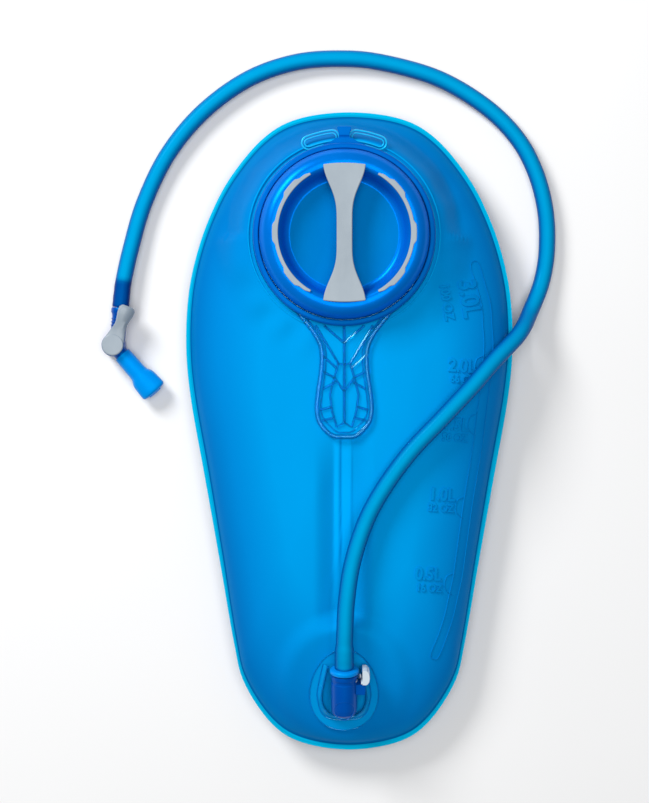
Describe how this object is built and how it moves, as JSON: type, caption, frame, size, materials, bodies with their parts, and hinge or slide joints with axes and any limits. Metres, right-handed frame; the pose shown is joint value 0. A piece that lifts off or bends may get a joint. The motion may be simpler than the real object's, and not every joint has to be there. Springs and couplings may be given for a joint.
{
  "type": "hydration bladder",
  "caption": "Soft flat water reservoir with a screw cap on a tether, a quick-release drinking hose and a bite valve with a shut-off lever.",
  "frame": {"origin": "on the resting surface, under the middle of the bag", "axes": "+X to the right of the front face, +Y from the outlet towards the fill port, +Z out of the front face, up as it lies on its back"},
  "size_m": [0.3015, 0.4634, 0.067],
  "materials": {
    "film": "satin translucent film",
    "clear_port": "clear moulding",
    "cap_blue": "satin translucent moulding",
    "seal": "matte",
    "grip": "matte soft-touch",
    "coupling": "satin",
    "pale_plastic": "satin",
    "spring": "drawn wire",
    "hose": "clear flexible tube",
    "mouth": "silicone"
  },
  "bodies": {
    "bag": {"front_film": "film", "back_film": "film", "centre_baffle": "film", "fill_port": "clear_port", "port_handle": "clear_port", "hang_tab": "clear_port", "tether_anchor": "cap_blue", "outlet_port": "clear_port", "quick_link_socket": "coupling", "button_spring": "spring", "poppet_spring": "spring"},
    "tether": {"tether_strap": "cap_blue"},
    "tether_loop": {"tether_ring": "cap_blue", "cap_gasket": "seal"},
    "lid": {"cap": "cap_blue", "grip_bar": "grip", "grip_arc_right": "grip", "grip_arc_left": "grip"},
    "poppet": {"check_poppet": "pale_plastic", "poppet_seal": "seal"},
    "button": {"release_button": "pale_plastic"},
    "drink_tube": {"quick_link_plug": "coupling", "plug_o_ring": "seal", "hose": "hose", "valve_body": "coupling", "mouthpiece": "mouth"},
    "shutoff": {"valve_lever": "grip", "valve_rotor": "pale_plastic", "rotor_seal_lower": "seal", "rotor_seal_upper": "seal"}
  },
  "joints": [
    {"name": "tether_flip", "type": "hinge", "parent": "bag", "child": "tether", "pos_m": [-0.0037, 0.19, 0.049], "axis": [-1, 0, 0], "range_deg": [0, 120]},
    {"name": "cap_rise", "type": "slide", "parent": "tether", "child": "tether_loop", "axis": [0, 0, 1], "range_m": [0, 0.005]},
    {"name": "cap_turn", "type": "hinge", "parent": "tether_loop", "child": "lid", "pos_m": [-0.0037, 0.127, 0.05], "axis": [0, 0, 1], "range_deg": [0, 120]},
    {"name": "plug_pull", "type": "slide", "parent": "bag", "child": "drink_tube", "axis": [0, 0.9703, 0.2419], "range_m": [0, 0.025]},
    {"name": "poppet_slide", "type": "slide", "parent": "bag", "child": "poppet", "axis": [0, 0.9703, 0.2419], "range_m": [0, 0.003], "deforming": ["poppet_spring"]},
    {"name": "button_press", "type": "slide", "parent": "bag", "child": "button", "axis": [-1, 0, 0], "range_m": [0, 0.002], "stiffness_N_per_m": 300, "springref_m": -0.004, "deforming": ["button_spring"]},
    {"name": "lever_turn", "type": "hinge", "parent": "drink_tube", "child": "shutoff", "pos_m": [-0.1565, 0.0569, 0.0086], "axis": [0, 0, 1], "range_deg": [-90, 0]}
  ],
  "couplings": [
    {"joint": "cap_rise", "follows": "cap_turn", "m_per_rad": 0.002387},
    {"joint": "poppet_slide", "follows": "plug_pull", "ratio": 0.12}
  ]
}
